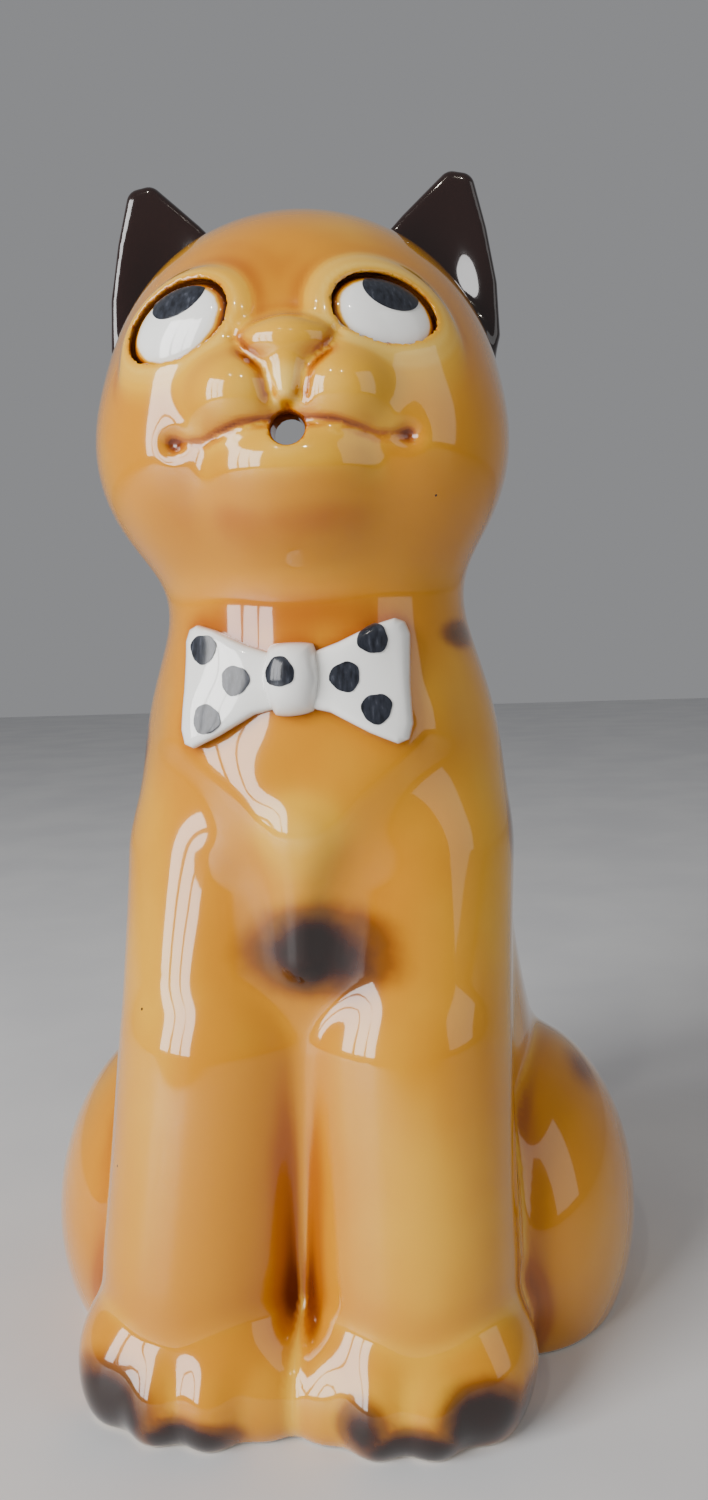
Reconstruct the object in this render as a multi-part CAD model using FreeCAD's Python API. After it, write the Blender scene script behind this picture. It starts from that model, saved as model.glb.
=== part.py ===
import FreeCAD, Part
import math
import os

from FreeCAD import Vector

# Glazed earthenware cat jug, sitting upright. It faces -Y, +X is to the right of someone
# facing it, and it stands on the plane Z = 0. Lengths are in millimetres. The castings are
# one blended form, sliced into level sections; its walls follow the same form inwards.

# Driving dimensions
WALL = 6.0              # thickness of the slip-cast wall
FLOOR = 7.0             # thickness of the closed base
NECK_Z = 212.0          # level where the head casting is luted on the body casting
HEAD_X = -2.0           # the head sits slightly to one side, as the makers joined it
HEAD_TURN = 4.5         # and looks this many degrees towards +X
AXIS_Y = -8.0           # depth of the upright line that the sections are drawn around
CENTRE_Y = 18.3         # depth of the middle of the whole jug, which becomes the origin
RING_POINTS = 60        # points in one level section
CREASE = 4.0            # softness of the groove between the legs

MOUTH_Z = 248.0         # pouring hole through the lips
MOUTH_RADIUS = 4.0
FILL_Z = 271.0          # filling opening in the back of the head
FILL_WIDTH = 56.0
FILL_HEIGHT = 44.0

EAR_THICKNESS = 11.0
EYE_RELIEF = 2.4        # how far the eyes stand proud of the face
PAINT = 0.5             # thickness of the raised black enamel
BOW_RELIEF = 5.0
BOW_Z = 189.0
DOT_RADIUS = 3.7

TAIL_ROOT_RADIUS = 12.0
TAIL_TIP_RADIUS = 8.5
TAIL_ROUTE = [(58, 44), (88, 50), (103, 82), (104, 120), (96, 160), (76, 196), (48, 219), (22, 226)]


# ---- The blended form ------------------------------------------------------------------

def blend(a, b, width):
    """Joins two distances with a fillet about as wide as width."""
    near = max(width - abs(a - b), 0.0) / width
    return min(a, b) - near ** 3 * width / 6


def ball(p, centre, radii):
    """Distance from p to an ellipsoid, negative inside it."""
    q = [a - c for a, c in zip(p, centre)]
    scale = math.hypot(*[v / r for v, r in zip(q, radii)])
    slope = math.hypot(*[v / r ** 2 for v, r in zip(q, radii)])
    return scale * (scale - 1) / max(slope, 1e-6)


def limb(p, start, end, start_radius, end_radius):
    """Distance from p to a round-ended cone from start to end."""
    run = [b - a for a, b in zip(start, end)]
    q = [a - b for a, b in zip(p, start)]
    length = math.hypot(*run)
    taper = (start_radius - end_radius) / length
    along = sum(a * b for a, b in zip(q, run)) / length
    across = math.sqrt(max(sum(v * v for v in q) - along * along, 0.0))
    lean = math.sqrt(1 - taper * taper)
    place = across * -taper + along * lean
    if place < 0:
        return math.hypot(across, along) - start_radius
    if place > lean * length:
        return math.hypot(across, along - length) - end_radius
    return across * lean + along * taper - start_radius


def torso_form(x, y, z):
    p = (x, y, z)
    d = ball(p, (0, -12, 152), (52, 45, 70))
    d = blend(d, ball(p, (0, 4, 76), (57, 58, 84)), 34)
    d = blend(d, limb(p, (0, -12, 188), (0, -10, 240), 36.5, 39), 30)
    d = blend(d, ball(p, (0, 28, 50), (62, 48, 64)), 24)
    return blend(d, limb(p, (0, -52, 168), (0, -54, 128), 9, 6), 22)


def head_form(x, y, z):
    turn = math.radians(HEAD_TURN)
    side = (x - HEAD_X) * math.cos(turn) + (y - AXIS_Y) * math.sin(turn)
    depth = (y - AXIS_Y) * math.cos(turn) - (x - HEAD_X) * math.sin(turn) + AXIS_Y
    p = (side, depth, z)
    half = (abs(side), depth, z)
    d = ball(p, (0, -8, 265), (54, 53, 50))
    cheek = ball(half, (22, -22, 249), (33, 38, 34))
    d = blend(d, cheek, 16)
    muzzle = ball(half, (13, -57, 256), (15, 14, 13))
    d = blend(d, muzzle, 8)
    chin = ball(p, (0, -52, 241), (19, 15, 15))
    d = blend(d, chin, 12)
    nose = limb(p, (0, -48, 283), (0, -63, 266), 8, 7)
    return blend(d, nose, 12)


def whole_form(x, y, z):
    half = (math.hypot(x, CREASE), y, z)
    d = blend(torso_form(x, y, z), head_form(x, y, z), 34)
    haunch = ball(half, (53, 12, 25), (37, 54, 53))
    d = blend(d, haunch, 7)
    leg = limb(half, (24, -28, 140), (29, -47, 34), 29, 27)
    d = blend(d, leg, 18)
    paw = blend(ball(half, (20, -57, 11), (22, 22, 21)), ball(half, (41, -55, 11), (21, 22, 21)), 12)
    return blend(d, paw, 12)


def hollow_form(x, y, z):
    """The inside: a wall in from the torso and head, opening softly into the legs and haunches."""
    half = (math.hypot(x, CREASE), y, z)
    d = blend(torso_form(x, y, z), head_form(x, y, z), 34) + WALL
    haunch = ball(half, (50, 12, 34), (31, 45, 42))
    d = blend(d, haunch, 20)
    leg = limb(half, (24, -28, 140), (28, -42, 48), 22, 20)
    return blend(d, leg, 20)


def grown(amount):
    """The whole form with its skin moved out by an amount."""
    return lambda x, y, z: whole_form(x, y, z) - amount


# ---- Solids drawn from the form --------------------------------------------------------

def reach(angle, z, form):
    """How far a form reaches from the upright line at one angle and level."""
    def gap(radius):
        return form(radius * math.sin(angle), AXIS_Y + radius * math.cos(angle), z)

    step = 4.0
    inside = 108.0
    while inside > step and gap(inside) > 0:
        inside -= step
    outside = inside + step
    for _ in range(12):
        middle = (inside + outside) / 2
        if gap(middle) > 0:
            outside = middle
        else:
            inside = middle
    return inside


def ring(z, form):
    """The closed outline of a form at one level, with its points closest at the front."""
    points = []
    for i in range(RING_POINTS):
        turn = 2 * math.pi * i / RING_POINTS
        angle = turn + 0.4 * math.sin(turn)
        radius = reach(angle, z, form)
        points.append(Vector(radius * math.sin(angle), AXIS_Y + radius * math.cos(angle), z))
    curve = Part.BSplineCurve()
    places = [float(i) for i in range(RING_POINTS + 1)]
    curve.interpolate(Points=points, PeriodicFlag=True, Parameters=places)
    return Part.Wire(curve.toShape())


def crown(form):
    """The highest level that a form reaches above the upright line."""
    z = 340.0
    for _ in range(60):
        z -= 0.8 * form(HEAD_X, AXIS_Y, z)
    return z


def body_solid(form, bottom):
    """A form between a flat bottom and the neck."""
    steps = 18
    levels = [bottom + (NECK_Z - bottom) * (i / steps) ** 1.25 for i in range(steps + 1)]
    return Part.makeLoft([ring(z, form) for z in levels], True)


def head_solid(form):
    """A form from the neck up to its crown."""
    steps = 15
    height = crown(form) - NECK_Z
    turns = [0.495 * math.pi * (i / steps) ** 1.1 for i in range(steps + 1)]
    levels = [NECK_Z + height * math.sin(turn) for turn in turns]
    return Part.makeLoft([ring(z, form) for z in levels], True)


def prism(outline, x, z, back, front):
    """A flat outline in X and Z, drawn about (x, z) and extruded along Y between two depths."""
    face = Part.Face(outline)
    face.translate(Vector(x, front, z))
    return face.extrude(Vector(0, back - front, 0))


def oval(width, height, tilt=0.0):
    curve = Part.Ellipse(Vector(0, 0, 0), width / 2, height / 2)
    wire = Part.Wire(curve.toShape())
    wire.rotate(Vector(0, 0, 0), Vector(1, 0, 0), 90)
    wire.rotate(Vector(0, 0, 0), Vector(0, -1, 0), tilt)
    return wire


def on_head(shape):
    """Moves and turns a shape drawn about X = 0 to where the head has it."""
    shape = shape.copy()
    shape.rotate(Vector(0, AXIS_Y, 0), Vector(0, 0, 1), HEAD_TURN)
    shape.translate(Vector(HEAD_X, 0, 0))
    return shape


def main_solid(shape):
    """The largest solid of a cut result, without the slivers beside it."""
    return max(shape.Solids, key=lambda solid: solid.Volume)


body_outer = body_solid(whole_form, -2).common(Part.makeBox(300, 300, 300, Vector(-150, -150, 0)))
head_outer = head_solid(whole_form)


# ---- Castings --------------------------------------------------------------------------

def body_casting():
    return body_outer.cut(body_solid(hollow_form, FLOOR))


def head_casting():
    shell = head_outer.cut(head_solid(hollow_form))
    mouth = Part.makeCylinder(MOUTH_RADIUS, 50, Vector(0, -85, MOUTH_Z), Vector(0, 1, 0))
    filling = prism(oval(FILL_WIDTH, FILL_HEIGHT), 0, FILL_Z, 60, 12)
    return main_solid(shell.cut(on_head(mouth)).cut(on_head(filling)))


def ear(side):
    """A rounded three-cornered plate, scooped in front, standing on the head."""
    corners = [(17, 306), (57, 267), (46, 335)]
    points = [Vector(side * x, 3 - EAR_THICKNESS / 2, z) for x, z in corners]
    outline = Part.makePolygon(points + points[:1])
    plate = Part.Face(outline).extrude(Vector(0, EAR_THICKNESS, 0))
    plate = plate.makeFillet(4.5, plate.Edges)
    scoop = Part.makeSphere(16, Vector(side * 42, -15, 301))
    return main_solid(on_head(plate.cut(scoop)).cut(head_outer))


def tail_handle():
    """A tapering rod from the rump up and over to the nape, open for the fingers."""
    spine = Part.BSplineCurve()
    spine.interpolate(Points=[Vector(0, y, z) for y, z in TAIL_ROUTE])
    sections = []
    count = 13
    for i in range(count):
        share = i / (count - 1)
        place = spine.FirstParameter + share * (spine.LastParameter - spine.FirstParameter)
        radius = TAIL_ROOT_RADIUS + share * (TAIL_TIP_RADIUS - TAIL_ROOT_RADIUS)
        circle = Part.Circle(spine.value(place), Vector(*spine.tangent(place)[0]), radius)
        sections.append(Part.Wire(circle.toShape()))
    rod = Part.makeLoft(sections, True)
    return main_solid(rod.cut(body_outer).cut(head_outer))


# ---- Relief on the face ----------------------------------------------------------------

eye_skin = head_solid(grown(EYE_RELIEF))
pupil_skin = head_solid(grown(EYE_RELIEF + PAINT))


def layer(shape, skin, under):
    """The part of a shape between two skins of the form."""
    return main_solid(shape.common(skin).cut(under))


def eye(side):
    shape = prism(oval(26, 20, side * 14), side * 25, 276, -20, -75)
    return layer(on_head(shape), eye_skin, head_outer)


def pupil(side):
    """The dark half-moon at the top of the eye."""
    shape = prism(oval(16, 8, side * 16), side * 25.5, 281, -20, -75)
    return layer(on_head(shape), pupil_skin, eye_skin)


# ---- Bow tie ---------------------------------------------------------------------------

bow_skin = body_solid(grown(BOW_RELIEF), 150)
dot_skin = body_solid(grown(BOW_RELIEF + PAINT), 150)


def bow_wing(side):
    outline = [(6.5, 5.5), (17, 11), (27, 14.5), (29.5, 12), (28.5, 0), (29.5, -13), (26, -15.5), (6.5, -6)]
    points = [Vector(side * x, 0, z) for x, z in outline]
    shape = prism(Part.makePolygon(points + points[:1]), 0, BOW_Z, -15, -80)
    return layer(shape, bow_skin, body_outer)


def bow_knot():
    shape = Part.makeBox(13, 65, 17, Vector(-6.5, -80, BOW_Z - 8.5))
    shape = shape.makeFillet(3, [edge for edge in shape.Edges if edge.tangentAt(edge.FirstParameter).y])
    return layer(shape, bow_skin, body_outer)


def polka_dot(x, z):
    shape = prism(oval(2 * DOT_RADIUS, 2 * DOT_RADIUS), x, BOW_Z + z, -15, -80)
    return layer(shape, dot_skin, bow_skin)


# ---- Export ----------------------------------------------------------------------------

DOT_PLACES = [(-23, 8.5), (-14, 0), (-22.5, -9), (-2, 2), (23, 8.5), (14.5, 0), (23, -9)]

nodes = {"body_casting": body_casting(), "head_casting": head_casting(), "tail_handle": tail_handle()}
for name, side in (("left", -1), ("right", 1)):
    nodes["ear_" + name] = ear(side)
    nodes["eye_" + name] = eye(side)
    nodes["pupil_" + name] = pupil(side)
    nodes["bow_wing_" + name] = bow_wing(side)
nodes["bow_knot"] = bow_knot()
for number, (x, z) in enumerate(DOT_PLACES, start=1):
    nodes["polka_dot_%d" % number] = polka_dot(x, z)

os.makedirs("parts", exist_ok=True)
for name, shape in nodes.items():
    shape.translate(Vector(0, -CENTRE_Y, 0))
    shape.exportStep("parts/" + name + ".step")
    box = shape.optimalBoundingBox(False)
    print("%-16s solids %d valid %s volume %9.0f  x %6.1f %6.1f  y %6.1f %6.1f  z %6.1f %6.1f" % (
        name, len(shape.Solids), shape.isValid(), shape.Volume,
        box.XMin, box.XMax, box.YMin, box.YMax, box.ZMin, box.ZMax))
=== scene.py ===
import math

import bmesh
import bpy
import numpy as np
import openvdb
from mathutils import Matrix, Vector


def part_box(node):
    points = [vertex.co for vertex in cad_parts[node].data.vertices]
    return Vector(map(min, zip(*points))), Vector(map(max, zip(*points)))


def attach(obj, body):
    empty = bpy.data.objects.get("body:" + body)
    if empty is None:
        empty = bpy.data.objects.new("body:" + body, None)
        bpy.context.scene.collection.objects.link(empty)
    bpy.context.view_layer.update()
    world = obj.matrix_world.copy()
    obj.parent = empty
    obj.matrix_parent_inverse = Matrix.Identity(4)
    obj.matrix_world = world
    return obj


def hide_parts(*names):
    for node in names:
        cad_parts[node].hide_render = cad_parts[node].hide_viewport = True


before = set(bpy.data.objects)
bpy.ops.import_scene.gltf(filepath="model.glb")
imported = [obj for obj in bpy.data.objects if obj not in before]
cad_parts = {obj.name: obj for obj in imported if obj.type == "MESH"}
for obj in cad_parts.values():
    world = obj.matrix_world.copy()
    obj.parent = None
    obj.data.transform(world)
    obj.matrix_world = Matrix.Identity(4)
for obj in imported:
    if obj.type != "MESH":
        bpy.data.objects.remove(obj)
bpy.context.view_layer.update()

# The cat is sculpted as one blended form. It is in millimetres, faces -Y and stands on Z = 0. Its own
# Y starts near the middle of the torso. Meshes are moved by CENTRE_Y to the frame's place and scaled
# to metres. A form is a function from points, one in each row, to distances outside the surface.
MM = 0.001
NECK_Z = 212.0
WALL = 6.0
THIN_WALL = 4.0
HEAD_X = -2.0
AXIS_Y = -8.0
HEAD_TURN = math.radians(4.5)
CAD_EAR_Y = 3.0
ears_middle = (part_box("ear_left")[0].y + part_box("ear_right")[1].y) / 2
CENTRE_Y = (CAD_EAR_Y - AXIS_Y) * math.cos(HEAD_TURN) + AXIS_Y - ears_middle / MM
FINE = 1.0


# ---- Distances -------------------------------------------------------------------------

def blend(a, b, width):
    """Smooth union of two distances."""
    near = np.maximum(width - np.abs(a - b), 0.0) / width
    return np.minimum(a, b) - near ** 3 * (width / 6)


def carve(a, b, width):
    """Takes b out of a, with a softened lip."""
    return -blend(-a, b, width)


def ball(p, centre, radii, axes=None):
    """Distance to an ellipsoid, whose own axes may be the columns of a matrix."""
    q = p - np.array(centre, np.float32)
    if axes is not None:
        q = q @ axes
    q = q / np.array(radii, np.float32)
    scale = np.sqrt(np.einsum("ij,ij->i", q, q))
    q = q / np.array(radii, np.float32)
    slope = np.sqrt(np.einsum("ij,ij->i", q, q)) + 1e-6
    return scale * (scale - 1) / slope


def limb(p, start, end, start_radius, end_radius):
    """Distance to a round-ended cone."""
    start = np.array(start, np.float32)
    run = np.array(end, np.float32) - start
    length = float(np.linalg.norm(run))
    q = p - start
    along = q @ (run / length)
    across = np.sqrt(np.maximum(np.einsum("ij,ij->i", q, q) - along * along, 0.0))
    taper = (start_radius - end_radius) / length
    lean = math.sqrt(1 - taper * taper)
    place = along * lean - across * taper
    middle = across * lean + along * taper - start_radius
    first = np.hypot(across, along) - start_radius
    last = np.hypot(across, along - length) - end_radius
    return np.where(place < 0, first, np.where(place > lean * length, last, middle))


def stroke(u, v, corners):
    """Distance in a plane to a line drawn through corners."""
    q = np.stack([u, v], 1)
    corners = np.array(corners, np.float32)
    best = np.full(len(q), 1e9, np.float32)
    for a, b in zip(corners, corners[1:]):
        run = b - a
        away = q - a
        share = np.clip((away @ run) / (run @ run), 0, 1)
        best = np.minimum(best, np.linalg.norm(away - share[:, None] * run, axis=1))
    return best


def outline(u, v, corners):
    """Distance in a plane to a closed outline of corners, negative inside."""
    inside = np.zeros(len(u), bool)
    for (x0, y0), (x1, y1) in zip(corners[-1:] + corners[:-1], corners):
        crosses = (y0 > v) != (y1 > v)
        rise = y1 - y0 if y1 != y0 else 1.0
        inside ^= crosses & (u < x0 + (x1 - x0) * (v - y0) / rise)
    best = stroke(u, v, corners[-1:] + corners)
    return np.where(inside, -best, best)


def flattened(a, b, width):
    """The part that a and b share, with a softened edge."""
    return -blend(-a, -b, width)


def mirrored(p, softness=0.0):
    """Folds the right and left sides onto +X, with a crease of a given softness between them."""
    q = p.copy()
    q[:, 0] = np.hypot(p[:, 0], softness)
    return q


def in_head(p):
    """The points in the head's own place, where it looks straight ahead."""
    q = p.copy()
    x = p[:, 0] - HEAD_X
    y = p[:, 1] - AXIS_Y
    q[:, 0] = x * math.cos(HEAD_TURN) + y * math.sin(HEAD_TURN)
    q[:, 1] = y * math.cos(HEAD_TURN) - x * math.sin(HEAD_TURN) + AXIS_Y
    return q


# ---- The form of the cat ---------------------------------------------------------------

def torso_form(p):
    """Chest, belly, neck and rump, with the ruff below the bow tie and the ridge under it."""
    d = ball(p, (0, -12, 152), (52, 45, 70))
    d = blend(d, ball(p, (0, 4, 76), (57, 58, 84)), 34)
    d = blend(d, limb(p, (0, -12, 188), (0, -10, 240), 36.5, 39), 30)
    d = blend(d, ball(p, (0, 28, 50), (62, 48, 64)), 24)
    m = mirrored(p, 1.5)
    d = blend(d, limb(m, (25, -37, 176), (2, -50, 149), 11, 9), 12)
    return blend(d, limb(p, (0, -54, 152), (-1, -55, 118), 5, 4), 12)


TOES = [(9, -66.5), (21.5, -71), (35, -70), (47.5, -62.5)]
PAW_SHIFT = -4.5
HAUNCH_SHIFT = -1.5
LEAN_HEIGHT = 150
CREASE = 4.0


def paw_form(m):
    d = blend(ball(m, (21, -56, 13), (21, 22, 20)), ball(m, (40, -54, 13), (21, 22, 20)), 12)
    for x, y in TOES:
        d = blend(d, ball(m, (x, y, 8.5), (9, 11, 12)), 8)
    return d


def shifted(p, distance):
    """Mirrored about a plane that leans aside, by a distance in all at the floor."""
    q = p.copy()
    q[:, 0] -= distance * np.clip(1 - p[:, 2] / LEAN_HEIGHT, 0, 1)
    return mirrored(q, CREASE)


def legs_form(d, p):
    """Grows haunches, forelegs and paws on a torso, with a hollow on each side of its ridge."""
    d = blend(d, ball(shifted(p, HAUNCH_SHIFT), (53, 12, 25), (37, 54, 53)), 6)
    m = shifted(p, PAW_SHIFT)
    d = blend(d, limb(m, (26, -25, 140), (29, -45, 40), 27, 26), 12)
    d = blend(d, limb(m, (25, -38, 90), (29, -47, 34), 27, 27), 4.5)
    hollow = limb(m, (17, -66, 138), (9, -68, 116), 6.5, 4.5)
    d = carve(d, hollow, 13)
    return blend(d, paw_form(m), 9)


EYE_PLACE = (24.3, -51.3, 275.3)
EYE_SHIFT = -1.7
EYE_SIZE = (14.2, 10.8)
EYE_DEPTH = 5.0
EYE_FACING = (0.40, -0.88, 0.25)
EYE_LONG = (0.907, 0.355, -0.26)
EYE_TILT = 0.07


def eye_axes(side):
    """Long axis, short axis and facing of one eye, as the columns of a matrix."""
    facing = Vector((side * EYE_FACING[0], EYE_FACING[1], EYE_FACING[2])).normalized()
    long = Vector((side * EYE_LONG[0], EYE_LONG[1], EYE_LONG[2] + side * EYE_TILT))
    long = (long - long.dot(facing) * facing).normalized()
    short = facing.cross(long)
    if short.z < 0:
        short = -short
    return np.array([long, short, facing], np.float32).T


def eye_place(side):
    return (side * EYE_PLACE[0] + EYE_SHIFT, EYE_PLACE[1], EYE_PLACE[2])


def eye_balls(q, grow, sides=(-1, 1)):
    """The eyes' lenses in the head's place, grown along each of their own axes."""
    radii = (EYE_SIZE[0] + grow[0], EYE_SIZE[1] + grow[1], EYE_DEPTH + grow[2])
    balls = [ball(q, eye_place(side), radii, eye_axes(side)) for side in sides]
    return balls[0] if len(balls) == 1 else np.minimum(*balls)


MOUTH_LINE = [(4, 250), (11, 249.3), (21, 246.3), (28.5, 246.8)]
NOSTRIL_LINE = [(12, 270.5), (10, 266.5), (5.5, 262), (4, 256)]


def face_lines(q):
    """Distances in front view from the mouth line, the pits at its ends and the nostril creases."""
    x = np.abs(q[:, 0])
    pit = np.hypot(x - MOUTH_LINE[-1][0], q[:, 2] - MOUTH_LINE[-1][1])
    return stroke(x, q[:, 2], MOUTH_LINE), pit, stroke(x, q[:, 2], NOSTRIL_LINE)


SKULL = ((0, -8, 265), (54, 53, 50))


def head_form(q):
    """Skull, cheeks, brow, eye mounds, muzzle, lip, chin and nose, with their grooves."""
    m = mirrored(q)
    d = ball(q, *SKULL)
    d = blend(d, ball(m, (22, -22, 249), (33, 38, 34)), 16)
    d = carve(d, limb(q, (0, -62, 300), (0, -68, 283), 7, 5), 12)
    d = blend(d, eye_balls(q, (3.0, 3.0, -0.5)), 8)
    d = blend(d, ball(m, (12, -54.5, 257), (13.5, 14.5, 12)), 8)
    d = blend(d, ball(q, (0, -57, 241), (19, 12, 9)), 9)
    d = blend(d, ball(q, (0, -48, 234), (22, 17, 15)), 14)
    d = blend(d, ball(q, (0, -57, 269), (13, 10.5, 6.5)), 3.5)
    d = blend(d, limb(q, (0, -61, 268), (0, -65.5, 257), 5, 2.5), 6)
    line, pit, crease = face_lines(q)
    front = np.clip((-30 - q[:, 1]) / 10, 0, 1)
    grooves = 0.6 * np.exp(-(line / 1.4) ** 2) + 1.8 * np.exp(-(pit / 2.8) ** 2)
    d = d + front * (grooves + 0.6 * np.exp(-(crease / 1.7) ** 2))
    return carve(d, eye_balls(q, (1.0, 1.0, 1.3)), 3)


EAR = [(15, 294), (19.5, 302.5), (32, 315.5), (43.5, 326), (46, 325.5), (49, 313), (51.5, 298),
       (52, 284), (48, 270)]
EAR_Y = 4
EAR_TOP = 332
EAR_TAPER = 0.06
EAR_ROUNDING = 4.2


def ear_form(q):
    """A rounded triangular blade with a scooped front, on each side."""
    m = mirrored(q)
    flat = outline(m[:, 0], m[:, 2], EAR)
    half_thickness = 0.4 + EAR_TAPER * np.clip(EAR_TOP - m[:, 2], 0, 60)
    depth = np.abs(m[:, 1] - EAR_Y) - half_thickness
    d = flattened(flat, depth, 4.5) - EAR_ROUNDING
    return carve(d, ball(m, (38, -17, 299), (17, 18.5, 28)), 8)


TAIL_ROUTE = [(58, 44), (88, 50), (103, 82), (104, 120), (96, 160), (76, 196), (48, 219), (22, 226)]
TAIL_ROOT_RADIUS = 12.0
TAIL_TIP_RADIUS = 8.5
TAIL_STEPS = 7


def tail_line():
    """Points along the smooth curve through the tail's route."""
    route = [np.array((0.0, y, z)) for y, z in TAIL_ROUTE]
    route = [2 * route[0] - route[1]] + route + [2 * route[-1] - route[-2]]
    points = []
    for i in range(1, len(route) - 2):
        a, b, c, e = route[i - 1:i + 3]
        for t in np.arange(TAIL_STEPS) / TAIL_STEPS:
            points.append(0.5 * (2 * b + (c - a) * t + (2 * a - 5 * b + 4 * c - e) * t ** 2
                                 + (3 * b - a - 3 * c + e) * t ** 3))
    return points + [route[-2]]


TAIL_POINTS = tail_line()


def tail_form(p):
    radii = np.linspace(TAIL_ROOT_RADIUS, TAIL_TIP_RADIUS, len(TAIL_POINTS))
    d = np.full(len(p), 1e3, np.float32)
    for i in range(len(TAIL_POINTS) - 1):
        d = np.minimum(d, limb(p, TAIL_POINTS[i], TAIL_POINTS[i + 1], radii[i], radii[i + 1]))
    return d


def casting_form(p):
    """The whole cat as solid clay, without ears, tail or bow tie."""
    return legs_form(blend(torso_form(p), head_form(in_head(p)), 26), p)


FLOOR = 8.0


def hollow_form(p):
    """The room inside: it follows the torso and skull and reaches into haunches and forelegs."""
    m = mirrored(p, CREASE)
    d = blend(torso_form(p), ball(in_head(p), (0, -8, 263), SKULL[1]), 30) + WALL
    d = blend(d, ball(m, (50, 12, 34), (31, 45, 42)), 20)
    d = blend(d, limb(m, (24, -28, 140), (28, -42, 48), 22, 20), 20)
    return np.maximum(d, FLOOR - p[:, 2])


MOUTH_Y = -60
MOUTH_Z = 248
MOUTH_REACH = 22
MOUTH_RADIUS = 4.0
FILL_START_Y = 12
FILL_Z = 271
FILL_SIZE = (28, 22)


def holes_form(p):
    """The pouring hole in the lips and the filling opening in the back of the head."""
    q = in_head(p)
    across = np.hypot(q[:, 0], q[:, 2] - MOUTH_Z) - MOUTH_RADIUS
    mouth = np.maximum(across, np.abs(q[:, 1] - MOUTH_Y) - MOUTH_REACH)
    scaled = np.hypot(q[:, 0] / FILL_SIZE[0], (q[:, 2] - FILL_Z) / FILL_SIZE[1])
    fill = np.maximum((scaled - 1) * FILL_SIZE[1], FILL_START_Y - q[:, 1])
    return mouth, fill


def open_up(d, p):
    """Makes a solid form into the standing, hollow, open casting."""
    mouth, fill = holes_form(p)
    d = carve(d, np.maximum(hollow_form(p), d + THIN_WALL), 1.5)
    d = carve(d, mouth, 1.6)
    d = carve(d, fill, 4.0)
    return carve(d, p[:, 2], 1.2)


def casting(p):
    return open_up(casting_form(p), p)


EAR_FILLET = 7
TAIL_FILLET = 8


def dressed(p):
    """The casting with its ears and tail grown on, for the normals of pieces that flow together."""
    d = casting_form(p)
    high = p[:, 2] > 255
    d[high] = blend(d[high], ear_form(in_head(p[high])), EAR_FILLET)
    back = (p[:, 1] > 8) & (p[:, 2] < 255)
    d[back] = blend(d[back], tail_form(p[back]), TAIL_FILLET)
    return open_up(d, p)


# ---- From form to mesh -----------------------------------------------------------------

CHUNK = 150000
COARSE = 4
NEAR = 1.7
STEPS_TO_SURFACE = 3
STRIDE = 0.7


def evaluate(form, points):
    """A form's distances at many points, in chunks that fit in memory."""
    points = points.astype(np.float32)
    if len(points) == 0:
        return np.zeros(0, np.float32)
    parts = [form(points[i:i + CHUNK]) for i in range(0, len(points), CHUNK)]
    return np.concatenate(parts).astype(np.float32)


def slope_of(form, points, step=0.25):
    """Gradient of a form by central differences."""
    gradient = np.zeros((len(points), 3), np.float32)
    for axis in range(3):
        shift = np.zeros(3, np.float32)
        shift[axis] = step
        gradient[:, axis] = evaluate(form, points + shift) - evaluate(form, points - shift)
    return gradient / (2 * step)


def unit(vectors):
    return vectors / np.maximum(np.linalg.norm(vectors, axis=1, keepdims=True), 1e-9)


def surface_of(form, low, high, cell):
    """Quads on the zero surface of a form inside a box, worked out only near the surface."""
    counts = [int(math.ceil((h - l) / (cell * COARSE))) * COARSE + 1 for l, h in zip(low, high)]
    axes = [l + cell * np.arange(n) for l, n in zip(low, counts)]
    coarse_axes = [a[::COARSE] for a in axes]
    grid = np.stack(np.meshgrid(*coarse_axes, indexing="ij"), -1).reshape(-1, 3)
    coarse = evaluate(form, grid).reshape([len(a) for a in coarse_axes])
    nearest = [np.minimum((np.arange(n) + COARSE // 2) // COARSE, len(a) - 1)
               for n, a in zip(counts, coarse_axes)]
    full = coarse[np.ix_(*nearest)].copy()
    near = np.argwhere(np.abs(full) < NEAR * COARSE * cell)
    points = np.array(low, np.float32) + cell * near.astype(np.float32)
    full[near[:, 0], near[:, 1], near[:, 2]] = evaluate(form, points)
    volume = openvdb.FloatGrid(1e3)
    volume.copyFromArray(np.ascontiguousarray(full, dtype=np.float32))
    found, quads = volume.convertToQuads(0.0)
    points = np.array(low, np.float32) + cell * np.array(found, np.float32)
    for _ in range(STEPS_TO_SURFACE):
        gradient = slope_of(form, points)
        steep = np.maximum(np.einsum("ij,ij->i", gradient, gradient), 0.05)
        move = -(evaluate(form, points) / steep)[:, None] * gradient
        length = np.maximum(np.linalg.norm(move, axis=1, keepdims=True), 1e-9)
        points = points + move * np.minimum(1, STRIDE * cell / length)
    return points, np.array(quads, np.int32)


def outward(points, quads, form):
    """Turns the faces so that they look away from the clay."""
    a, b, c = points[quads[:, 0]], points[quads[:, 1]], points[quads[:, 2]]
    facing = np.cross(b - a, c - a)
    middle = points[quads].mean(1)
    agree = np.einsum("ij,ij->i", facing, slope_of(form, middle))
    return quads[:, ::-1] if np.median(agree) < 0 else quads


def to_frame(points):
    return (points - np.array((0, CENTRE_Y, 0))) * MM


def from_frame(mesh):
    """The places of a mesh's corners in the cat's own millimetres."""
    co = np.zeros(len(mesh.vertices) * 3, np.float32)
    mesh.vertices.foreach_get("co", co)
    return co.reshape(-1, 3) / MM + np.array((0, CENTRE_Y, 0), np.float32)


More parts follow.
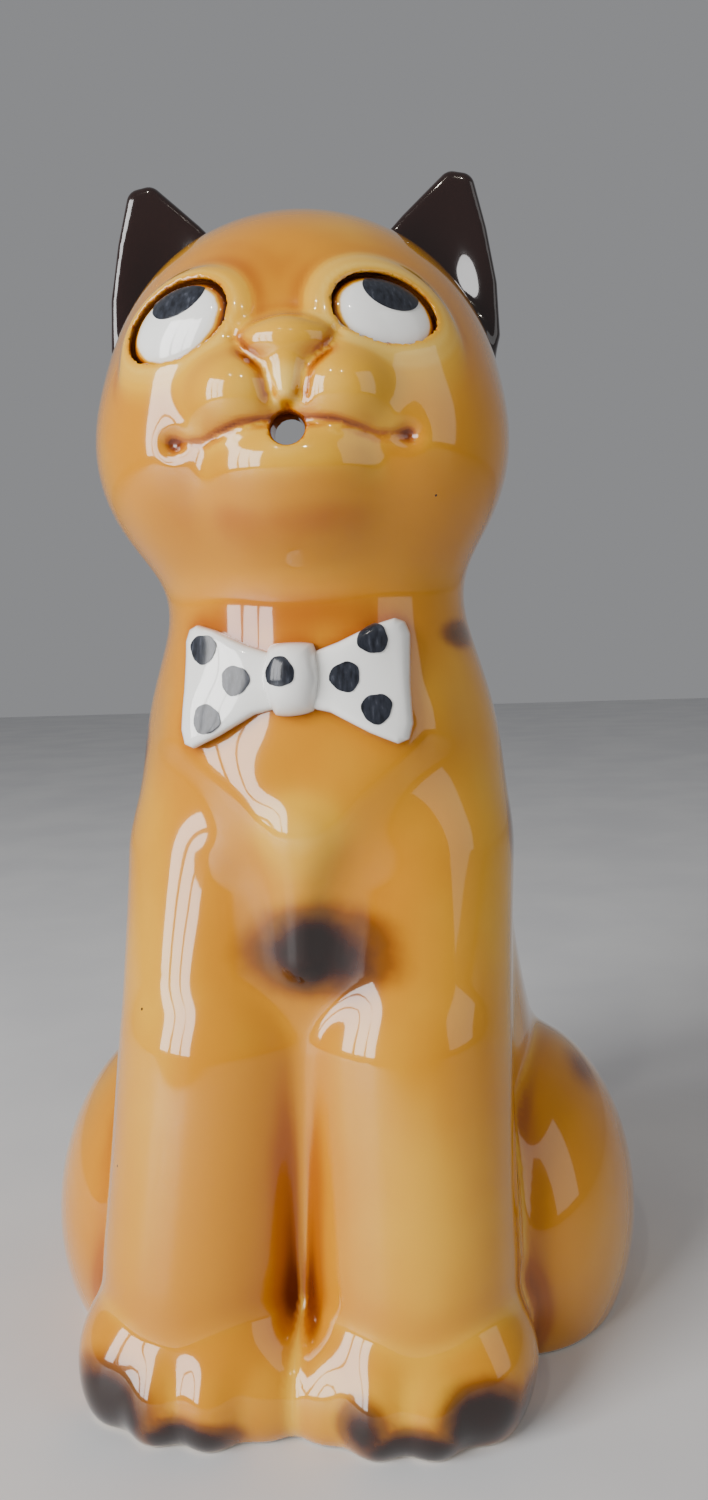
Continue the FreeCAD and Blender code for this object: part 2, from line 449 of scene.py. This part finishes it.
def cut_level(mesh, level, keep_above):
    """Cuts a mesh at a level and closes the cut with faces."""
    bm = bmesh.new()
    bm.from_mesh(mesh)
    normal = (0, 0, -1) if keep_above else (0, 0, 1)
    everything = bm.verts[:] + bm.edges[:] + bm.faces[:]
    bmesh.ops.bisect_plane(bm, geom=everything, plane_co=(0, 0, level * MM), plane_no=normal,
                           clear_outer=True)
    rim = [e for e in bm.edges if e.is_boundary]
    bmesh.ops.triangle_fill(bm, edges=rim, use_beauty=False)
    bm.to_mesh(mesh)
    bm.free()


def make_piece(name, form, low, high, cell, normals_from=None, level=None, keep_above=True):
    """Sculpts one closed piece, with smooth normals taken from its own or another form."""
    points, quads = surface_of(form, low, high, cell * FINE)
    quads = outward(points, quads, form)
    mesh = bpy.data.meshes.new(name)
    mesh.from_pydata(to_frame(points).tolist(), [], quads.tolist())
    if level is not None:
        cut_level(mesh, level, keep_above)
    mesh.validate()
    for polygon in mesh.polygons:
        polygon.use_smooth = True
    places = from_frame(mesh)
    normals = unit(slope_of(normals_from or form, places))
    mesh.normals_split_custom_set_from_vertices(normals.tolist())
    piece = bpy.data.objects.new(name, mesh)
    bpy.context.scene.collection.objects.link(piece)
    return piece, places, normals


def write_number(piece, name, values):
    """Keeps a number from 0 to 1 at each corner, for the piece's material to read."""
    attribute = piece.data.attributes.new(name, "FLOAT", "POINT")
    attribute.data.foreach_set("value", np.clip(values, 0, 1).astype(np.float32))


def enrol(piece, node, material):
    piece.data.materials.append(material)
    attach(piece, "root")
    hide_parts(node)


# ---- Materials -------------------------------------------------------------------------

class Nodes:
    """Small helper for building a material's nodes."""

    def __init__(self, name):
        self.material = bpy.data.materials.new(name)
        self.material.use_nodes = True
        self.tree = self.material.node_tree
        self.shader = self.tree.nodes["Principled BSDF"]

    def add(self, kind, **settings):
        node = self.tree.nodes.new(kind)
        for key, value in settings.items():
            setattr(node, key, value)
        return node

    def link(self, source, target):
        self.tree.links.new(source, target)

    def attribute(self, name):
        return self.add("ShaderNodeAttribute", attribute_name=name).outputs["Fac"]

    def place(self):
        return self.add("ShaderNodeTexCoord").outputs["Object"]

    def noise(self, scale, detail=3.0, stretch=(1, 1, 1)):
        mapping = self.add("ShaderNodeMapping")
        mapping.inputs["Scale"].default_value = stretch
        self.link(self.place(), mapping.inputs["Vector"])
        node = self.add("ShaderNodeTexNoise")
        node.inputs["Scale"].default_value = scale
        node.inputs["Detail"].default_value = detail
        self.link(mapping.outputs["Vector"], node.inputs["Vector"])
        return node.outputs["Fac"]

    def spread(self, value, share):
        """A noise value as a change of up to half a share either way."""
        return self.math("MULTIPLY", self.math("ADD", value, -0.5), share)

    def math(self, operation, a, b, clamp=False):
        node = self.add("ShaderNodeMath", operation=operation, use_clamp=clamp)
        for socket, value in zip(node.inputs, (a, b)):
            if isinstance(value, (int, float)):
                socket.default_value = value
            else:
                self.link(value, socket)
        return node.outputs[0]

    def ramp(self, value, stops):
        node = self.add("ShaderNodeValToRGB")
        ramp = node.color_ramp
        ramp.interpolation = "EASE"
        while len(ramp.elements) < len(stops):
            ramp.elements.new(0.5)
        for element, (position, colour) in zip(ramp.elements, stops):
            element.position = position
            element.color = (*colour, 1)
        self.link(value, node.inputs["Fac"])
        return node.outputs["Color"]

    def mix(self, share, a, b):
        node = self.add("ShaderNodeMix", data_type="RGBA")
        self.link(share, node.inputs[0])
        for socket, value in zip((node.inputs[6], node.inputs[7]), (a, b)):
            if isinstance(value, tuple):
                socket.default_value = (*value, 1)
            else:
                self.link(value, socket)
        return node.outputs[2]

    def bump(self, height, strength, distance):
        node = self.add("ShaderNodeBump")
        node.inputs["Strength"].default_value = strength
        node.inputs["Distance"].default_value = distance
        self.link(height, node.inputs["Height"])
        self.link(node.outputs["Normal"], self.shader.inputs["Normal"])

    def colour(self, colour):
        self.link(colour, self.shader.inputs["Base Color"])

    def gloss(self, roughness, coat=1.0, coat_roughness=0.03):
        self.shader.inputs["Roughness"].default_value = roughness
        self.shader.inputs["Coat Weight"].default_value = coat
        self.shader.inputs["Coat Roughness"].default_value = coat_roughness
        self.shader.inputs["IOR"].default_value = GLAZE_IOR
        self.shader.inputs["Specular IOR Level"].default_value = 0.15


GLAZE_IOR = 1.52
DEEP_BROWN = (0.055, 0.012, 0.006)
RED_BROWN = (0.14, 0.022, 0.0)
HONEY_DARK = (0.38, 0.10, 0.0)
HONEY = (0.56, 0.215, 0.0)
STRAW = (0.68, 0.34, 0.012)
CREAM = (0.76, 0.48, 0.08)
BLACK_BROWN = (0.014, 0.006, 0.005)
PINHOLE = (0.03, 0.012, 0.008)
WHITE = (0.82, 0.82, 0.79)
IVORY = (0.80, 0.78, 0.70)
BISCUIT = (0.62, 0.50, 0.36)
ENAMEL = (0.008, 0.009, 0.013)
ENAMEL_WORN = (0.020, 0.023, 0.032)
ENAMEL_THIN = (0.07, 0.075, 0.095)
PAINT_DARK = (0.60, 0.60, 0.61)
PAINT_PALE = (0.66, 0.66, 0.66)
FOOT_LINE = 0.0009


def grey(value):
    return (value, value, value)


def specks(nodes, colour):
    """Sparse dark pinholes in the glaze."""
    cells = nodes.add("ShaderNodeTexVoronoi")
    cells.inputs["Scale"].default_value = 55.0
    nodes.link(nodes.place(), cells.inputs["Vector"])
    close = nodes.math("LESS_THAN", cells.outputs["Distance"], 0.022)
    some = nodes.math("GREATER_THAN", nodes.noise(23.0, 1.0), 0.58)
    share = nodes.math("MULTIPLY", close, some)
    return nodes.mix(share, colour, PINHOLE)


def amber_glaze():
    nodes = Nodes("amber_glaze")
    tone = nodes.attribute("tone")
    tone = nodes.math("ADD", tone, nodes.spread(nodes.noise(26.0, 4.0, (1.0, 1.0, 0.16)), 0.26))
    tone = nodes.math("ADD", tone, nodes.spread(nodes.noise(17.0, 3.0), 0.34), clamp=True)
    stops = [(0.0, RED_BROWN), (0.27, HONEY_DARK), (0.5, HONEY), (0.75, STRAW), (1.0, CREAM)]
    colour = nodes.ramp(tone, stops)
    # Brown of the sprayed patches, with the painted shade under the chin among them.
    spray_and_shade = nodes.math("ADD", nodes.attribute("spray_and_shade"), nodes.spread(nodes.noise(120.0, 5.0), 0.35))
    core = nodes.math("MULTIPLY", nodes.attribute("spray_and_shade"), 1.6, clamp=True)
    spray_and_shade = nodes.math("MULTIPLY", spray_and_shade, core, clamp=True)
    dark = nodes.ramp(spray_and_shade, [(0.0, grey(0.0)), (0.12, grey(0.05)), (0.6, grey(0.8)), (0.9, grey(1.0))])
    brown = nodes.ramp(spray_and_shade, [(0.0, RED_BROWN), (0.45, RED_BROWN), (0.75, DEEP_BROWN), (1.0, BLACK_BROWN)])
    colour = nodes.mix(dark, colour, brown)
    colour = specks(nodes, colour)
    split = nodes.add("ShaderNodeSeparateXYZ")
    nodes.link(nodes.place(), split.inputs[0])
    foot = nodes.math("LESS_THAN", split.outputs["Z"], FOOT_LINE)
    nodes.colour(nodes.mix(foot, colour, BISCUIT))
    nodes.gloss(0.16)
    nodes.bump(nodes.noise(70.0, 2.0), 0.16, 0.0006)
    return nodes.material


def black_glaze():
    nodes = Nodes("black_glaze")
    tone = nodes.math("ADD", nodes.attribute("edge"), nodes.math("MULTIPLY", nodes.noise(60.0, 4.0), 0.35))
    stops = [(0.0, BLACK_BROWN), (0.45, BLACK_BROWN), (0.8, DEEP_BROWN), (1.0, HONEY_DARK)]
    nodes.colour(nodes.ramp(tone, stops))
    nodes.gloss(0.14)
    nodes.bump(nodes.noise(80.0, 2.0), 0.2, 0.0006)
    return nodes.material


def white_glaze():
    nodes = Nodes("white_glaze")
    ragged = nodes.spread(nodes.noise(260.0, 4.0), 0.3)
    edge = nodes.math("ADD", nodes.attribute("edge"), ragged, clamp=True)
    stops = [(0.0, WHITE), (0.42, IVORY), (0.62, STRAW), (0.8, HONEY_DARK), (1.0, DEEP_BROWN)]
    nodes.colour(nodes.ramp(edge, stops))
    nodes.gloss(0.14)
    nodes.bump(nodes.noise(90.0, 2.0), 0.12, 0.0005)
    return nodes.material


def black_enamel():
    nodes = Nodes("black_enamel")
    brush = nodes.noise(900.0, 5.0, (1.0, 1.0, 0.25))
    nodes.colour(nodes.ramp(brush, [(0.3, ENAMEL), (0.55, ENAMEL_WORN), (0.78, ENAMEL_THIN)]))
    nodes.gloss(0.28, coat=0.6, coat_roughness=0.12)
    nodes.bump(brush, 0.4, 0.0002)
    return nodes.material


amber = amber_glaze()
black = black_glaze()
white = white_glaze()
enamel = black_enamel()


# ---- Glaze tone and sprayed patches ----------------------------------------------------

def depth_tone(places, normals):
    """Where the glaze pools it is dark, where it runs thin it is pale, and faces that look up are a little
    paler as painted light: 0 to 1.
    """
    slope = np.maximum(np.linalg.norm(slope_of(casting_form, places), axis=1), 0.3)

    def closeness(distance):
        """How much nearer the clay stays than it would beside a flat face."""
        return 1 - evaluate(casting_form, places + normals * distance) / (distance * slope)

    recess = closeness(3.0)
    wide_recess = closeness(11.0)
    ridge = closeness(-5.0)
    wide_ridge = closeness(-14.0)
    tone = 0.50 - 0.9 * np.clip(recess, -0.1, 1) - 0.5 * np.clip(wide_recess, -0.1, 1)
    tone += 0.32 * np.clip(ridge, 0, 0.5) + 0.22 * np.clip(wide_ridge, 0, 0.8)
    # Faces that look up are made paler: painted light.
    return tone + 0.04 + 0.05 * normals[:, 2]


# Each tint is a painted highlight or, with an amount below 0, painted shade: a centre, its radii and how
# much paler the glaze is there.
PAINTED_LIGHT_AND_SHADE = [
    ((13, -66, 257), (10, 12, 8), 0.22),
    ((-8, -66, 257), (10, 12, 8), 0.22),
    ((3, -64, 243), (13, 12, 6), 0.26),
    ((3, -60, 270), (12, 12, 6), 0.14),
    ((0, -60, 151), (13, 14, 9), 0.30),
    ((52, -30, 118), (12, 26, 60), 0.16),
    ((-40, -50, 96), (9, 26, 50), 0.12),
    ((30, -76, 60), (12, 20, 30), 0.14),
    ((0, -56, 230), (24, 18, 8), -0.22),
    ((0, -50, 206), (30, 18, 6), -0.20),
    ((-52, -20, 250), (10, 24, 16), -0.10),
    ((18, -64, 128), (10, 12, 18), -0.16),
    ((-18, -64, 128), (10, 12, 18), -0.16),
    ((-4, -62, 70), (9, 16, 34), -0.12),
    ((0, -54, 292), (10, 14, 12), -0.10),
    ((60, -30, 40), (10, 20, 40), -0.12),
    ((-60, -30, 40), (10, 20, 40), -0.12),
]

# Each patch is a centre, its radii and the strength of the brown: mostly sprayed brown, with painted shade
# under the chin.
SPRAY_AND_SHADE_PATCHES = [
    ((4, -60, 120), (24, 16, 15), 1.1),
    ((40, -26, 199), (9, 16, 6), 0.75),
    ((54, -14, 144), (10, 18, 11), 1.1),
    ((-48, -18, 172), (8, 16, 11), 1.0),
    ((80, 0, 72), (14, 20, 12), 0.85),
    ((-84, 10, 60), (12, 22, 12), 0.45),
    ((0, -4, 317), (30, 26, 9), 1.1),
    ((22, -8, 309), (13, 20, 8), 0.8),
    ((-24, -2, 308), (12, 18, 7), 0.6),
    ((56, 10, 262), (8, 20, 30), 0.5),
    ((-50, -72, 8), (17, 17, 13), 1.3),
    ((-30, -80, 4), (16, 11, 7), 1.25),
    ((14, -78, 9), (8, 12, 9), 1.1),
    ((27, -82, 3), (18, 10, 8), 1.3),
    ((42, -74, 9), (13, 13, 11), 1.3),
    ((53, -64, 7), (9, 12, 10), 1.0),
    ((0, -62, 24), (4, 12, 17), 0.6),
    ((0, -60, 128), (4, 6, 14), 0.25),
    # Painted shade under the chin.
    ((4, -60, 228), (13, 14, 5), 0.22),
    ((34, 70, 60), (20, 16, 14), 0.7),
    ((-36, 66, 84), (16, 16, 12), 0.7),
    ((6, 44, 150), (16, 12, 12), 0.7),
    ((-20, 34, 190), (12, 12, 9), 0.6),
    ((0, 60, 46), (16, 20, 12), 0.6),
    ((-34, 24, 300), (16, 20, 14), 0.5),
    ((0, 104, 118), (16, 16, 12), 0.8),
    ((0, 80, 190), (14, 14, 10), 0.7),
]


def bell(distance, width):
    """1 at no distance, fading smoothly to 0 over about twice a width."""
    return np.exp(-(np.clip(distance, 0, None) / width) ** 2)


def cloud(places, centre, radii):
    """1 in the middle of a soft cloud, fading to 0 round it."""
    return bell(np.linalg.norm((places - np.array(centre)) / np.array(radii), axis=1), 1.0)


def sprayed_and_shaded(places):
    """Brown from the sprayed patches and the painted shade under the chin, and from the ears' glaze where
    it fades into the head's.
    """
    total = np.zeros(len(places))
    for centre, radii, strength in SPRAY_AND_SHADE_PATCHES:
        total = np.maximum(total, strength * cloud(places, centre, radii))
    high = places[:, 2] > 262
    near_ear = evaluate(ear_form, in_head(places[high]))
    total[high] = np.maximum(total[high], 1.1 * np.exp(-np.clip(near_ear, 0, None) / 3.2))
    return total


def line_tone(places):
    """How dark the glaze is in the mouth line, its pits and the nostril creases."""
    line, pit, crease = face_lines(in_head(places))
    lines = 0.15 * bell(line, 1.3) + 0.12 * bell(pit, 3.0) + 0.06 * bell(crease, 1.4)
    on_face = (places[:, 1] < -40) & (places[:, 2] > 225)
    return np.where(on_face, lines, 0)


def bow_tone(places):
    """How dark the glaze is where it pools against the bow tie."""
    away = np.clip(evaluate(bow_outline, places), 0, None)
    on_chest = (places[:, 1] < -25) & (places[:, 2] > 160) & (places[:, 2] < 215)
    return np.where(on_chest, 0.22 * np.exp(-away / 2.2), 0)


INSIDE_TONE = 0.42
TAIL_TONE = 0.46


def paint_amber(piece, places, normals):
    tone = depth_tone(places, normals) - bow_tone(places) - line_tone(places)
    # Painted highlights and painted shade in the glaze colour.
    for centre, radii, amount in PAINTED_LIGHT_AND_SHADE:
        tone += amount * cloud(places, centre, radii)
    for side in (-1, 1):
        tone -= 0.60 * bell(evaluate(lambda p: eye_lens(p, side), places), 1.7)
    clay = evaluate(casting_form, places)
    inside = clay < -0.6 * THIN_WALL
    tone = np.where(inside, INSIDE_TONE, tone)
    # The tail's glaze is paler where it faces up: painted light.
    tone = np.where(clay > 1.0, TAIL_TONE + 0.06 * normals[:, 2], tone)
    write_number(piece, "tone", tone)
    write_number(piece, "spray_and_shade", np.where(inside, 0, sprayed_and_shaded(places)))


# ---- Bow tie, eyes and enamel ----------------------------------------------------------

# Outlines and dots are in front view, from the middle of the bow tie.
BOW_X = -0.6
BOW_Z = 189.0
WING_NARROWING = 1.04
SINK = 2.0
WING = [(3, 6), (12, 9), (21, 13), (26.5, 14.6), (29, 13.6), (30.3, 10.5), (30.2, -2), (30.8, -12),
        (29.8, -15.8), (27, -16.8), (20, -13.8), (10, -8.5), (3, -7)]
DOTS = [(-23.5, 8.3), (-14.6, 0.3), (-22.3, -9.2), (-2.3, 2.2), (19.8, 9.5), (13.0, 0.4), (20.6, -7.6)]
DOT_RADIUS = 3.7
DOT_RELIEF = 0.3
PUPIL_RELIEF = 0.35
KNOT = [(-5, -10), (-7.5, 0), (-6, 9.5), (6, 9.5), (7.5, 0), (6.5, -9)]


def bow_outline(p):
    """Distance in front view from the bow tie's edge."""
    x = np.abs(p[:, 0] - BOW_X) * WING_NARROWING
    wing = outline(x, p[:, 2] - BOW_Z, WING)
    knot = np.hypot(p[:, 0] / 8.2, (p[:, 2] - BOW_Z - 0.3) / 9.6)
    return np.minimum(wing, (knot - 1) * 8.2)


def wing_form(p, side):
    """A pillow raised on the chest, highest outwards and pleated beside the knot."""
    x = side * (p[:, 0] - BOW_X) * WING_NARROWING
    edge = outline(x, p[:, 2] - BOW_Z, WING)
    skin = casting_form(p)
    share = np.clip((x - 4) / 22, 0, 1)
    pleat = 0.5 * np.cos((p[:, 2] - BOW_Z) / (1.2 + 0.13 * np.clip(x, 0, 30))) * (1 - share) ** 2
    height = 2.6 + 2.4 * share * (2 - share) + pleat
    return np.maximum(flattened(edge, skin - height, 4.5), -(skin + SINK))


KNOT_PLACE = (BOW_X, -52.5, BOW_Z + 0.3)
KNOT_SIZE = (10, 11, 11.5)


def knot_form(p):
    edge = outline(p[:, 0] - BOW_X, p[:, 2] - BOW_Z, KNOT)
    d = flattened(ball(p, KNOT_PLACE, KNOT_SIZE), edge, 5)
    return np.maximum(d, -(casting_form(p) + SINK))


def bow_form(p):
    return np.minimum(np.minimum(wing_form(p, -1), wing_form(p, 1)), knot_form(p))


def eye_lens(p, side):
    return eye_balls(in_head(p), (0, 0, 0), (side,))


def eye_plane(p, side):
    """Places on the eye: along its long axis, up its short axis, both from its middle."""
    q = (in_head(p) - np.array(eye_place(side), np.float32)) @ eye_axes(side)
    return q[:, 0], q[:, 1], q[:, 2]


def pupil_form(p, side):
    """A half-moon of enamel at the upper edge of the eye."""
    u, v, w = eye_plane(p, side)
    aside = side * 1.5 - 0.7
    moon = (np.hypot((u - aside) / 7.4, (v - 6.0) / 5.4) - 1) * 5.4
    margin = (np.hypot(u / EYE_SIZE[0], v / EYE_SIZE[1]) - 0.86) * EYE_SIZE[1]
    skin = eye_lens(p, side)
    d = np.maximum(np.maximum(moon, margin), skin - PUPIL_RELIEF)
    return np.maximum(np.maximum(d, -(skin + 0.8)), -w)


def dot_form(p, number):
    """A slightly uneven round dab of enamel on the bow tie."""
    x, z = DOTS[number]
    u = p[:, 0] - x
    v = p[:, 2] - BOW_Z - z
    angle = np.arctan2(v, u)
    wobble = 0.22 * np.sin(3 * angle + number) + 0.07 * np.sin(7 * angle + 2 * number)
    edge = np.hypot(u, v) - DOT_RADIUS - wobble
    skin = bow_form(p)
    d = np.maximum(edge, np.maximum(skin - DOT_RELIEF, -(skin + 0.9)))
    return np.maximum(d, p[:, 1] + 40)


# ---- Making the pieces -----------------------------------------------------------------

EAR_REACH = 6.5
TAIL_REACH = 7.5
ROOT_DEPTH = 2.5


def ear_piece(p, side):
    """An ear with its fillet, down to a root sunk in the head."""
    q = in_head(p)
    skin = casting_form(p)
    d = ear_form(q)
    whole = blend(skin, d, EAR_FILLET)
    d = np.maximum(np.maximum(whole, d - EAR_REACH), -(skin + ROOT_DEPTH))
    return np.maximum(d, -side * q[:, 0])


def tail_piece(p):
    """The tail with its fillets, down to roots sunk in rump and nape."""
    skin = casting_form(p)
    d = tail_form(p)
    whole = blend(skin, d, TAIL_FILLET)
    return np.maximum(np.maximum(whole, d - TAIL_REACH), -(skin + ROOT_DEPTH))


def make_amber(name, node, form, low, high, cell, level=None, keep_above=True):
    piece, places, normals = make_piece(name, form, low, high, cell, dressed, level, keep_above)
    paint_amber(piece, places, normals)
    enrol(piece, node, amber)


def make_bow_piece(name, form, low, high, cell):
    piece, places, _ = make_piece(name, form, low, high, cell)
    height = evaluate(casting_form, places)
    write_number(piece, "edge", 1 - np.clip((height + 0.2) / 1.9, 0, 1))
    enrol(piece, name, white)


def make_ear(side, name):
    low = (min(side * 8, side * 68) - 2, -30, 256)
    high = (max(side * 8, side * 68) + 2, 30, 338)
    ear, places, _ = make_piece(name, lambda p: ear_piece(p, side), low, high, 0.9, dressed)
    height = evaluate(casting_form, places)
    write_number(ear, "edge", 0.5 * np.exp(-np.clip(height, 0, None) / 2.5))
    enrol(ear, name, black)


def make_eye(side, name):
    middle = np.array((HEAD_X + side * 25 + 3, -50, 276))

    def lens(p):
        return eye_lens(p, side)

    eye, places, _ = make_piece("eye_" + name, lens, middle - 20, middle + 20, 0.45)
    u, v, _ = eye_plane(places, side)
    ring = np.hypot(u / EYE_SIZE[0], v / EYE_SIZE[1])
    write_number(eye, "edge", (ring - 0.70) / 0.24)
    enrol(eye, "eye_" + name, white)
    pupil, _, _ = make_piece("pupil_" + name, lambda p: pupil_form(p, side),
                             middle - 20, middle + 20, 0.35, lens)
    enrol(pupil, "pupil_" + name, enamel)


def make_dot(number):
    x, z = DOTS[number]
    name = "polka_dot_%d" % (number + 1)
    low = (x - 6, -74, BOW_Z + z - 6)
    high = (x + 6, -36, BOW_Z + z + 6)
    dot, _, _ = make_piece(name, lambda p: dot_form(p, number), low, high, 0.4, bow_form)
    enrol(dot, name, enamel)


make_amber("body", "body_casting", casting, (-96, -90, -6), (96, 82, 216), 1.75, NECK_Z, False)
make_amber("head", "head_casting", casting, (-66, -82, 206), (62, 52, 322), 1.05, NECK_Z, True)
make_amber("tail", "tail_handle", tail_piece, (-24, 10, 24), (24, 122, 250), 1.5)
for side, name in ((-1, "left"), (1, "right")):
    make_ear(side, "ear_" + name)
    make_eye(side, name)
    wing_low = (min(0, side * 34) - 2, -72, 166)
    wing_high = (max(0, side * 34) + 2, -24, 210)
    make_bow_piece("bow_wing_" + name, lambda p: wing_form(p, side), wing_low, wing_high, 0.6)
make_bow_piece("bow_knot", knot_form, (-14, -72, 174), (14, -40, 204), 0.5)
for number in range(len(DOTS)):
    make_dot(number)


# ---- Floor, light and camera -----------------------------------------------------------

FLOOR_HALF = 3.0


def make_floor():
    mesh = bpy.data.meshes.new("floor")
    corners = [(x * FLOOR_HALF, y * FLOOR_HALF, 0) for x, y in ((-1, -1), (1, -1), (1, 1), (-1, 1))]
    mesh.from_pydata(corners, [], [(0, 1, 2, 3)])
    floor = bpy.data.objects.new("floor", mesh)
    bpy.context.scene.collection.objects.link(floor)
    nodes = Nodes("floor_paint")
    nodes.colour(nodes.ramp(nodes.noise(9.0, 4.0), [(0.3, PAINT_DARK), (0.7, PAINT_PALE)]))
    nodes.shader.inputs["Roughness"].default_value = 0.55
    mesh.materials.append(nodes.material)


LIGHT_TARGET = Vector((0, 0, 0.16))
LAMP_COLOUR = (1, 0.93, 0.8)


def make_light(name, place, width, height, power, colour=(1, 1, 1)):
    data = bpy.data.lights.new(name, "AREA")
    data.shape = "RECTANGLE"
    data.size = width
    data.size_y = height
    data.energy = power
    data.color = colour
    light = bpy.data.objects.new(name, data)
    light.location = place
    light.rotation_euler = (LIGHT_TARGET - Vector(place)).to_track_quat("-Z", "Y").to_euler()
    bpy.context.scene.collection.objects.link(light)


def make_camera():
    """A hand-held view from in front, a little from the cat's left, looking slightly down."""
    azimuth = math.radians(7.0)
    pitch = math.radians(5.5)
    roll = math.radians(-2.0)
    back = 0.336
    aside = 0.0075
    height = 0.198
    ahead = Vector((-math.sin(azimuth), math.cos(azimuth), 0))
    right = Vector((math.cos(azimuth), math.sin(azimuth), 0))
    up = Vector((0, 0, 1))
    look = ahead * math.cos(pitch) - up * math.sin(pitch)
    above = up * math.cos(pitch) + ahead * math.sin(pitch)
    side = right * math.cos(roll) + above * math.sin(roll)
    above = above * math.cos(roll) - right * math.sin(roll)
    data = bpy.data.cameras.new("camera")
    data.sensor_width = 36.0
    data.lens = 27.12
    data.clip_start = 0.01
    camera = bpy.data.objects.new("camera", data)
    place = right * aside - ahead * back + up * height - Vector((0, CENTRE_Y * MM, 0))
    turned = Matrix((side, above, -look)).transposed()
    camera.matrix_world = Matrix.Translation(place) @ turned.to_4x4()
    bpy.context.scene.collection.objects.link(camera)
    bpy.context.scene.camera = camera


make_floor()
make_camera()
for pane in range(3):
    make_light("window_%d" % pane, (-1.05 + 0.17 * pane, -0.75 - 0.24 * pane, 0.62), 0.26, 1.0, 11)
make_light("right_fill", (1.5, -0.7, 0.8), 0.9, 1.4, 4.5)
for number, (x, y) in enumerate([(-0.25, -1.1), (0.35, -1.25)]):
    make_light("lamp_%d" % number, (x, y, 1.5), 0.045, 0.045, 1.6, LAMP_COLOUR)

world = bpy.data.worlds.new("world")
bpy.context.scene.world = world
world.use_nodes = True
sky = world.node_tree.nodes["Background"]
sky.inputs["Color"].default_value = (0.86, 0.87, 0.90, 1)
sky.inputs["Strength"].default_value = 0.31
